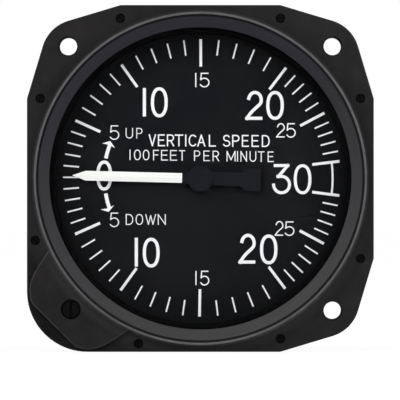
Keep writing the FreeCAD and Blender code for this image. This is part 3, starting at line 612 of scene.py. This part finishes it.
def ticks_tree():
    """Sets one domed bar at each point's turn round the dial, pointing at the centre."""
    tree = new_tree("dial_ticks", [
        ("Outer radius", "Float"), ("Short length", "Float"), ("Long length", "Float"),
        ("Short width", "Float"), ("Long width", "Float"),
        ("Paint height", "Float"), ("Paint", "Material"),
    ])
    given = tree.nodes.new("NodeGroupInput").outputs

    def pick(short, long):
        return step_in(tree, "GeometryNodeSwitch", {"input_type": "FLOAT"}, {
            "Switch": is_long.outputs[0], "False": given[short], "True": given[long],
        }).outputs[0]

    def maths(operation, first, second=0.0):
        made = step_in(tree, "ShaderNodeMath", {"operation": operation}, {0: first, 1: second})
        return made.outputs[0]

    turn = named(tree, "turn", "FLOAT").outputs[0]
    is_long = named(tree, "long", "BOOLEAN")
    section = stroke_section(tree, given["Paint height"])
    path = step_in(tree, "GeometryNodeCurvePrimitiveLine", None, {
        "Start": (0.0, 0.0, 0.0), "End": (1.0, 0.0, 0.0),
    })
    upright = step_in(tree, "GeometryNodeSetCurveNormal", {"mode": "Z_UP"}, {"Curve": path.outputs[0]})
    bar = step_in(tree, "GeometryNodeCurveToMesh", None, {
        "Curve": upright.outputs[0], "Profile Curve": section.outputs[0], "Fill Caps": True,
    })
    across = maths("MULTIPLY", maths("COSINE", turn), maths("MULTIPLY", given["Outer radius"], -1.0))
    up = maths("MULTIPLY", maths("SINE", turn), given["Outer radius"])
    spot = step_in(tree, "ShaderNodeCombineXYZ", None, {0: across, 1: up, 2: 0.0})
    placed = step_in(tree, "GeometryNodeSetPosition", None, {
        "Geometry": given["Geometry"], "Position": spot.outputs[0],
    })
    half = maths("MULTIPLY", pick("Short width", "Long width"), 0.5)
    length = pick("Short length", "Long length")
    sizes = step_in(tree, "ShaderNodeCombineXYZ", None, {0: length, 1: half, 2: half})
    back_turn = maths("MULTIPLY", turn, -1.0)
    swing = step_in(tree, "ShaderNodeCombineXYZ", None, {0: 0.0, 1: 0.0, 2: back_turn})
    bars = step_in(tree, "GeometryNodeInstanceOnPoints", None, {
        "Points": placed.outputs[0],
        "Instance": bar.outputs[0],
        "Rotation": swing.outputs[0],
        "Scale": sizes.outputs[0],
    })
    finish_tree(tree, bars.outputs[0], given["Paint"])
    return tree


def grown(name, base, tree, inputs, place):
    """Runs a tree on a base mesh and returns the result as a plain mesh object at the origin."""
    holder = bpy.data.objects.new(name + "_drawing", base)
    bpy.context.scene.collection.objects.link(holder)
    modifier = holder.modifiers.new("tree", "NODES")
    modifier.node_group = tree
    for item in tree.interface.items_tree:
        if item.in_out == "INPUT" and item.name in inputs:
            modifier[item.identifier] = inputs[item.name]
    bpy.context.view_layer.update()
    depsgraph = bpy.context.evaluated_depsgraph_get()
    mesh = bpy.data.meshes.new_from_object(holder.evaluated_get(depsgraph), depsgraph=depsgraph)
    bpy.data.objects.remove(holder)
    for slot in reversed(range(len(mesh.materials))):
        if mesh.materials[slot] is None:
            mesh.materials.pop(index=slot)
    mesh.transform(place)
    mesh.name = name
    made = bpy.data.objects.new(name, mesh)
    bpy.context.scene.collection.objects.link(made)
    return made


# The dial's characters, each in a box one unit wide and one high

def bow(cx, cy, rx, ry, start, end, square=2.0, count=18):
    """Points along part of an oval, in degrees; square above 2 fills its corners."""
    points = []
    for i in range(count + 1):
        a = math.radians(start + (end - start) * i / count)
        c = math.copysign(abs(math.cos(a)) ** (2.0 / square), math.cos(a))
        s = math.copysign(abs(math.sin(a)) ** (2.0 / square), math.sin(a))
        points.append((cx + rx * c, cy + ry * s))
    return points


oval = ("ring", bow(0.5, 0.5, 0.5, 0.5, 0.0, 360.0, 2.25, 40)[:-1])
spine = [(0, 0), (0, 1)]
stem = [(0.5, 0), (0.5, 1)]

characters = {
    "0": [oval],
    "1": [stem],
    "2": [
        bow(0.56, 0.71, 0.44, 0.29, 168, -26)
        + [(0.84, 0.51), (0.64, 0.41), (0.42, 0.30), (0.24, 0.19), (0.10, 0.08), (0, 0)],
        [(0, 0), (0.97, 0)],
    ],
    "3": [
        [(0.10, 1), (0.89, 1)],
        [(0.89, 1), (0.30, 0.6)],
        [(0.27, 0.6)] + bow(0.5, 0.30, 0.5, 0.30, 90, -177, 2.0, 28),
    ],
    "5": [
        [(0.10, 1), (0.88, 1)],
        [(0.10, 1), (0.03, 0.54)],
        [(0.04, 0.53)] + bow(0.46, 0.32, 0.54, 0.32, 122, -150, 2.0, 26),
    ],
    "A": [[(0, 0), (0.5, 1)], [(0.5, 1), (1, 0)], [(0.2, 0.32), (0.8, 0.32)]],
    "C": [bow(0.56, 0.5, 0.56, 0.5, 46, 314, 2.1, 24)],
    "D": [spine, [(0, 1)] + bow(0.38, 0.5, 0.62, 0.5, 90, -90, 2.2) + [(0, 0)]],
    "E": [spine, [(0, 1), (0.94, 1)], [(0, 0.52), (0.84, 0.52)], [(0, 0), (1, 0)]],
    "F": [spine, [(0, 1), (1, 1)], [(0, 0.52), (0.85, 0.52)]],
    "I": [stem],
    "L": [spine, [(0, 0), (1, 0)]],
    "M": [spine, [(0, 1), (0.5, 0.12)], [(0.5, 0.12), (1, 1)], [(1, 1), (1, 0)]],
    "N": [spine, [(0, 1), (1, 0)], [(1, 0), (1, 1)]],
    "O": [oval],
    "P": [spine, [(0, 1)] + bow(0.52, 0.735, 0.48, 0.265, 90, -90) + [(0, 0.47)]],
    "R": [
        spine,
        [(0, 1)] + bow(0.52, 0.735, 0.46, 0.265, 90, -90) + [(0, 0.47)],
        [(0.5, 0.47), (1, 0)],
    ],
    "S": [bow(0.5, 0.75, 0.44, 0.25, 28, 270) + bow(0.5, 0.25, 0.5, 0.25, 88, -156)],
    "T": [[(0, 1), (1, 1)], [(0.5, 1), (0.5, 0)]],
    "U": [[(0, 1)] + bow(0.5, 0.34, 0.5, 0.34, 180, 360) + [(1, 1)]],
    "V": [[(0, 1), (0.5, 0)], [(0.5, 0), (1, 1)]],
    "W": [[(0, 1), (0.27, 0)], [(0.27, 0), (0.5, 0.9)], [(0.5, 0.9), (0.73, 0)], [(0.73, 0), (1, 1)]],
}

# Each numeral: character, then its left, right, bottom and top edge, in millimetres from the dial's
# centre. Each letter of a line: character, then its left and right edge.
large_numerals = [
    ("1", -13.74, -12.82, 14.64, 21.45), ("0", -11.75, -7.70, 14.43, 21.64),
    ("2", 10.79, 14.98, 13.83, 20.78), ("0", 15.76, 19.98, 13.83, 20.76),
    ("3", 17.17, 21.69, -3.90, 3.32), ("0", 22.33, 26.55, -3.90, 3.28),
    ("1", -15.68, -14.73, -21.15, -14.25), ("0", -13.68, -9.63, -21.37, -14.25),
    ("2", 9.16, 13.28, -20.45, -13.30), ("0", 14.27, 18.46, -20.62, -13.48),
    ("0", -24.78, -20.95, -3.02, 4.17),
]
small_numerals = [
    ("5", -21.50, -19.27, 9.09, 12.54), ("5", -21.50, -19.31, -11.73, -8.26),
    ("1", -1.31, -0.74, 21.63, 25.04), ("5", -0.05, 2.26, 21.59, 25.09),
    ("1", -1.29, -0.67, -25.56, -22.18), ("5", 0.05, 2.21, -25.66, -22.11),
    ("2", 18.11, 20.21, 9.64, 13.07), ("5", 20.59, 22.82, 9.59, 13.07),
    ("2", 17.78, 19.87, -13.78, -10.26), ("5", 20.21, 22.51, -13.83, -10.35),
]
upper_line = [
    ("V", -12.26, -10.50), ("E", -10.07, -8.35), ("R", -7.93, -6.16), ("T", -6.07, -4.02),
    ("I", -3.69, -3.14), ("C", -2.74, -0.88), ("A", -0.69, 1.26), ("L", 2.07, 3.78),
    ("S", 5.40, 7.21), ("P", 7.64, 9.42), ("E", 9.95, 11.64), ("E", 12.26, 14.04), ("D", 14.71, 16.61),
]
lower_line = [
    ("1", -16.97, -16.45), ("0", -15.76, -14.14), ("0", -13.66, -12.09),
    ("F", -11.21, -9.81), ("E", -9.31, -7.64), ("E", -7.16, -5.45), ("T", -5.02, -3.55),
    ("P", -1.45, 0.05), ("E", 0.79, 2.36), ("R", 2.97, 4.55),
    ("M", 6.31, 8.45), ("I", 8.69, 9.16), ("N", 9.62, 11.19), ("U", 11.80, 13.40),
    ("T", 13.78, 15.37), ("E", 16.11, 17.59),
]
climb_word = [("U", -17.75, -15.99), ("P", -15.21, -13.73)]
descent_word = [
    ("D", -17.73, -15.95), ("O", -15.37, -13.59), ("W", -13.07, -10.50), ("N", -10.09, -8.19),
]


def on_line(letters, bottom, top, slope=0.0):
    """Sets letters on a line that may slope a little down to the right."""
    start = letters[0][1]
    return [(c, l, r, bottom - slope * (l - start), top - slope * (l - start)) for c, l, r in letters]


def written(letters, stroke):
    """The centre lines of letters, with open ends run on by nearly half the stroke."""
    half = stroke / 2
    run_on = half * 0.96
    lines = []
    for character, left, right, bottom, top in letters:
        left, right, bottom, top = left + half, right - half, bottom + half, top - half
        for line in characters[character]:
            ring = line[0] == "ring"
            shape = line[1] if ring else line
            path = [Vector((left + (right - left) * x, bottom + (top - bottom) * y)) for x, y in shape]
            if not ring:
                path[0] = path[0] + (path[0] - path[1]).normalized() * run_on
                path[-1] = path[-1] + (path[-1] - path[-2]).normalized() * run_on
            lines.append((path, half, ring))
    return lines


def spot_on_dial(radius, turn):
    """A point on the dial; the turn is the scale's, in degrees from the left, up being positive."""
    a = math.radians(turn)
    return Vector((-radius * math.cos(a), radius * math.sin(a)))


def round_dial(radius, start, end, count):
    """Points on an arc round the dial."""
    return [spot_on_dial(radius, start + (end - start) * i / count) for i in range(count + 1)]


def drawing(name, lines):
    """A mesh of edges for the strokes, with the stroke's half width on each point."""
    points, edges, widths = [], [], []
    for path, half, ring in lines:
        first = len(points)
        points += [(p.x * MM, p.y * MM, 0.0) for p in path]
        edges += [(first + i, first + i + 1) for i in range(len(path) - 1)]
        if ring:
            edges.append((first + len(path) - 1, first))
        widths += [half * MM] * len(path)
    mesh = bpy.data.meshes.new(name)
    mesh.from_pydata(points, edges, [])
    mesh.attributes.new("half_width", "FLOAT", "POINT").data.foreach_set("value", widths)
    return mesh


# The text is printed a touch off the dial's centre, as in the photo
on_dial = Matrix.Translation((0.0, DIAL_FRONT, 0.0)) @ Matrix.Rotation(math.radians(90), 4, "X")
text_place = Matrix.Translation((-0.07 * MM, 0.0, 0.13 * MM)) @ on_dial
strokes = strokes_tree()
paint = {"Paint height": 0.07, "Paint": finishes["print"]}

# Stroke widths, in millimetres
large_stroke, thirty_stroke = 0.78, 0.73
small_stroke, five_stroke = 0.29, 0.25
upper_stroke, lower_stroke, word_stroke = 0.315, 0.24, 0.22

# The arc that closes the scale between its two 30 marks
link_half_width = 0.24
scale_link = round_dial(31.6, 173.24, 187.24, 10)

numeral_lines = written(large_numerals[:4] + large_numerals[6:], large_stroke)
numeral_lines += written(large_numerals[4:6], thirty_stroke)
numeral_lines += written(small_numerals[:2], five_stroke) + written(small_numerals[2:], small_stroke)
numeral_lines.append((scale_link, link_half_width, False))
numerals = grown("dial_numerals", drawing("numerals", numeral_lines), strokes, paint, text_place)

legend_lines = written(on_line(upper_line, bottom=7.56, top=10.42, slope=0.007), upper_stroke)
legend_lines += written(on_line(lower_line, bottom=4.26, top=6.78, slope=0.0142), lower_stroke)
legend_lines += written(on_line(climb_word, bottom=9.40, top=11.92), word_stroke)
legend_lines += written(on_line(descent_word, bottom=-11.19, top=-8.62), word_stroke)
legend = grown("dial_legend", drawing("legend", legend_lines), strokes, paint, text_place)


# The two arrows that show which way the pointer goes

tip_radius, notch_radius = 23.27, 23.12
outer_wing_radius, inner_wing_radius = 24.88, 21.58
shaft_half_width = 0.44
head_half_height = 0.026


def arrow(shaft_radius, shaft_turns, tip_turn, notch_turn, wing_turns):
    """A shaft curved round the dial, and the outline of its barbed head, in millimetres."""
    shaft = round_dial(shaft_radius, *shaft_turns, 8)
    tip = spot_on_dial(tip_radius, tip_turn)
    outer = spot_on_dial(outer_wing_radius, wing_turns[0])
    notch = spot_on_dial(notch_radius, notch_turn)
    inner = spot_on_dial(inner_wing_radius, wing_turns[1])
    return shaft, [tip, outer, notch, inner]


def flat_shape(name, outlines, half_height):
    """Closed plates from outlines on the dial, as one mesh."""
    points, faces = [], []
    for outline in outlines:
        first, n = len(points), len(outline)
        area = sum(outline[i - 1].cross(outline[i]) for i in range(n))
        path = outline if area > 0 else outline[::-1]
        for height in (half_height, -half_height):
            points += [(p.x * MM, p.y * MM, height * MM) for p in path]
        faces.append([first + i for i in range(n)])
        faces.append([first + n + i for i in reversed(range(n))])
        for i in range(n):
            j = (i + 1) % n
            faces.append([first + i, first + n + i, first + n + j, first + j])
    mesh = bpy.data.meshes.new(name)
    mesh.from_pydata(points, [], faces)
    mesh.transform(on_dial)
    made = bpy.data.objects.new(name, mesh)
    bpy.context.scene.collection.objects.link(made)
    return made


climb_arrow = arrow(23.03, (12.0, 20.9), 22.6, 20.2, (19.7, 19.6))
descent_arrow = arrow(22.84, (-9.0, -18.8), -20.0, -17.9, (-17.3, -17.2))
shafts, heads = zip(climb_arrow, descent_arrow)
arrow_lines = [(shaft, shaft_half_width, False) for shaft in shafts]
arrows = grown("arrow_shafts", drawing("arrows", arrow_lines), strokes, paint, on_dial)
arrow_heads = flat_shape("arrow_heads", heads, head_half_height)
arrow_heads.data.materials.append(finishes["print"])


# Ticks: the scale opens out up to 20 and closes up towards 30. Each entry is a number on the scale
# and its turn in degrees. The whole scale is printed a touch off centre and turned, as in the photo.

scale_turns = [(0, 0.0), (5, 24.2), (10, 54.4), (15, 89.3), (20, 127.2), (25, 151.9), (30, 172.9)]
scale_turn = math.radians(0.23)
scale_shift = Matrix.Translation((0.33 * MM, 0.0, 0.15 * MM))

tick_turns, tick_long = [scale_turn], [False]
for (_, turn_a), (_, turn_b) in zip(scale_turns, scale_turns[1:]):
    for i in range(1, 6):
        turn = math.radians(turn_a + (turn_b - turn_a) * i / 5)
        for way in (turn, -turn):
            tick_turns.append(way + scale_turn)
            tick_long.append(i == 5)

tick_points = bpy.data.meshes.new("tick_points")
tick_points.from_pydata([(0.0, 0.0, 0.0)] * len(tick_turns), [], [])
tick_points.attributes.new("turn", "FLOAT", "POINT").data.foreach_set("value", tick_turns)
tick_points.attributes.new("long", "BOOLEAN", "POINT").data.foreach_set("value", tick_long)
ticks = grown("dial_tick_marks", tick_points, ticks_tree(), {
    "Outer radius": 33.07 * MM,
    "Short length": 3.68 * MM,
    "Long length": 6.52 * MM,
    "Short width": 0.38 * MM,
    "Long width": 0.66 * MM,
    "Paint height": 0.08,
    "Paint": finishes["print"],
}, scale_shift @ on_dial)

for piece in (numerals, legend, arrows, arrow_heads, ticks):
    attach(piece, "housing")


# The tapped static port's thread

def thread_tree():
    """Winds a ridge of diamond section up a helix about Z."""
    tree = new_tree("port_thread", [
        ("Bore radius", "Float"), ("Pitch", "Float"), ("Turns", "Float"),
        ("Ridge", "Float"), ("Metal", "Material"),
    ])
    given = tree.nodes.new("NodeGroupInput").outputs
    rise = step_in(tree, "ShaderNodeMath", {"operation": "MULTIPLY"}, {
        0: given["Pitch"], 1: given["Turns"],
    })
    helix = step_in(tree, "GeometryNodeCurveSpiral", None, {
        "Resolution": 40,
        "Rotations": given["Turns"],
        "Start Radius": given["Bore radius"],
        "End Radius": given["Bore radius"],
        "Height": rise.outputs[0],
    })
    upright = step_in(tree, "GeometryNodeSetCurveNormal", {"mode": "Z_UP"}, {"Curve": helix.outputs[0]})
    diamond = step_in(tree, "GeometryNodeCurvePrimitiveCircle", None, {
        "Resolution": 4, "Radius": given["Ridge"],
    })
    ridge = step_in(tree, "GeometryNodeCurveToMesh", None, {
        "Curve": upright.outputs[0], "Profile Curve": diamond.outputs[0], "Fill Caps": True,
    })
    finish_tree(tree, ridge.outputs[0], given["Metal"], False)
    return tree


port_low, port_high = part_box("static_port_fitting")
port_mouth = Vector(((port_low.x + port_high.x) / 2, port_high.y, (port_low.z + port_high.z) / 2))
thread_start = port_mouth - Vector((0.0, 0.6 * MM, 0.0))
helix_start = bpy.data.meshes.new("helix_start")
helix_start.from_pydata([(0.0, 0.0, 0.0)], [], [])
thread = grown("port_thread", helix_start, thread_tree(), {
    "Bore radius": 4.3 * MM,
    "Pitch": 0.94 * MM,
    "Turns": 9.5,
    "Ridge": 0.42 * MM,
    "Metal": finishes["port"],
}, Matrix.Translation(thread_start) @ Matrix.Rotation(math.radians(90), 4, "X"))
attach(thread, "housing")


# Floor, light and camera

def floor_finish():
    """A plain pale floor that the camera sees as white, with the object's soft shadow."""
    f = Finish("pale_floor")
    grain = f.noise(f.place(), 0.02, 2.0)
    colour = f.blend(grain, (0.80, 0.80, 0.80), (0.83, 0.83, 0.83))
    lit = f.node("ShaderNodeBsdfDiffuse", None, {"Color": colour})
    white = f.node("ShaderNodeEmission", None, {"Color": (1.0, 1.0, 1.0), "Strength": 1.04})
    seen = f.node("ShaderNodeLightPath", out="Is Camera Ray")
    mirrored = f.node("ShaderNodeLightPath", out="Is Glossy Ray")
    through = f.node("ShaderNodeLightPath", out="Is Transmission Ray")
    factor = seen.calc("MAXIMUM", mirrored).calc("MAXIMUM", through) * 0.88
    return f.shown(f.node("ShaderNodeMixShader", None, {0: factor, 1: lit, 2: white}))


floor_reach = 6.0
corners = [(x * floor_reach, y * floor_reach) for x, y in ((-1, -1), (1, -1), (1, 1), (-1, 1))]
floor_mesh = bpy.data.meshes.new("floor")
floor_mesh.from_pydata([(x, y, FLOOR_Z) for x, y in corners], [], [(0, 1, 2, 3)])
floor_mesh.materials.append(floor_finish())
floor = bpy.data.objects.new("floor", floor_mesh)
bpy.context.scene.collection.objects.link(floor)

# A white room that lights the object a little less than it shows
world = bpy.data.worlds.new("studio")
bpy.context.scene.world = world
world.use_nodes = True
sky = world.node_tree
sky.nodes.clear()
rays = sky.nodes.new("ShaderNodeLightPath")
brightest = rays.outputs["Is Camera Ray"]
for name in ("Is Glossy Ray", "Is Transmission Ray"):
    larger = sky.nodes.new("ShaderNodeMath")
    larger.operation = "MAXIMUM"
    sky.links.new(brightest, larger.inputs[0])
    sky.links.new(rays.outputs[name], larger.inputs[1])
    brightest = larger.outputs[0]
level = sky.nodes.new("ShaderNodeMapRange")
level.inputs["To Min"].default_value = 0.80
level.inputs["To Max"].default_value = 1.0
sky.links.new(brightest, level.inputs["Value"])
back = sky.nodes.new("ShaderNodeBackground")
back.inputs["Color"].default_value = (1.0, 1.0, 1.0, 1.0)
sky.links.new(level.outputs["Result"], back.inputs["Strength"])
out = sky.nodes.new("ShaderNodeOutputWorld")
sky.links.new(back.outputs[0], out.inputs["Surface"])

lit_point = Vector((0.0, 0.01, 0.0))


def softbox(name, place, width, power):
    """A round lamp that faces the object; width in metres, power in watts."""
    lamp = bpy.data.lights.new(name, "AREA")
    lamp.shape = "DISK"
    lamp.size = width
    lamp.energy = power
    holder = bpy.data.objects.new(name, lamp)
    bpy.context.scene.collection.objects.link(holder)
    holder.location = place
    aim = lit_point - Vector(place)
    holder.rotation_euler = aim.to_track_quat("-Z", "Y").to_euler()


softbox("key_light", (-0.45, -1.00, 0.66), 0.75, 6.5)
softbox("fill_light", (0.50, -1.10, 0.12), 0.60, 2.4)
softbox("side_light", (0.85, 0.55, 0.55), 0.60, 5.0)

camera_data = bpy.data.cameras.new("photograph_view")
camera_data.sensor_width = SENSOR_MM
camera_data.lens = LENS_MM
camera_data.clip_start = 0.05
camera_data.clip_end = 50.0
camera = bpy.data.objects.new("photograph_view", camera_data)
bpy.context.scene.collection.objects.link(camera)
camera.location = CAMERA_PLACE
camera.rotation_euler = (math.radians(90), 0.0, 0.0)
bpy.context.scene.camera = camera

bpy.context.scene.view_settings.view_transform = "Standard"
